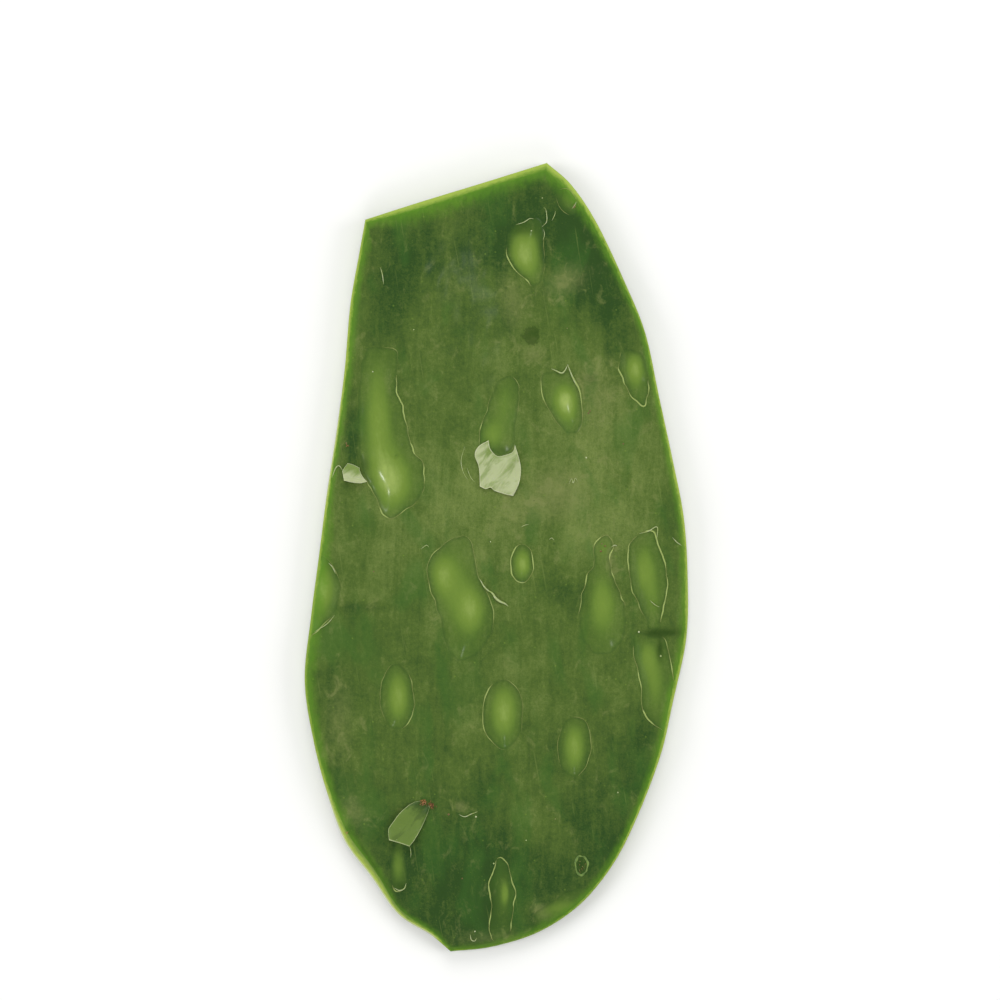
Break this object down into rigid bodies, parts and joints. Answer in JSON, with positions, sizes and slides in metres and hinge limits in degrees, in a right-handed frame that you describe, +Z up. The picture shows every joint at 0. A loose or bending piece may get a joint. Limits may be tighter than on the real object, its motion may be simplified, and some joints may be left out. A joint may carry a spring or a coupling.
{
  "type": "prickly pear cactus pad",
  "caption": "Flat oval cactus pad with a straight stalk cut, slanted trimmed rim and shallow oval scoops where the spine cushions were sliced off.",
  "frame": {"origin": "on the surface the pad lies on, under the middle of the pad's box", "axes": "+Y along the pad towards the cut stalk end, +Z up out of the upper face, +X across the pad"},
  "size_m": [0.106, 0.218, 0.0115],
  "materials": {
    "pad_skin": "waxy green plant skin, semi-gloss",
    "cut_flesh": "moist yellow-green flesh in the cut scoops, on the trimmed rim, the stalk end and the hanging slivers"
  },
  "bodies": {
    "root": {"pad": "pad_skin"}
  },
  "joints": []
}
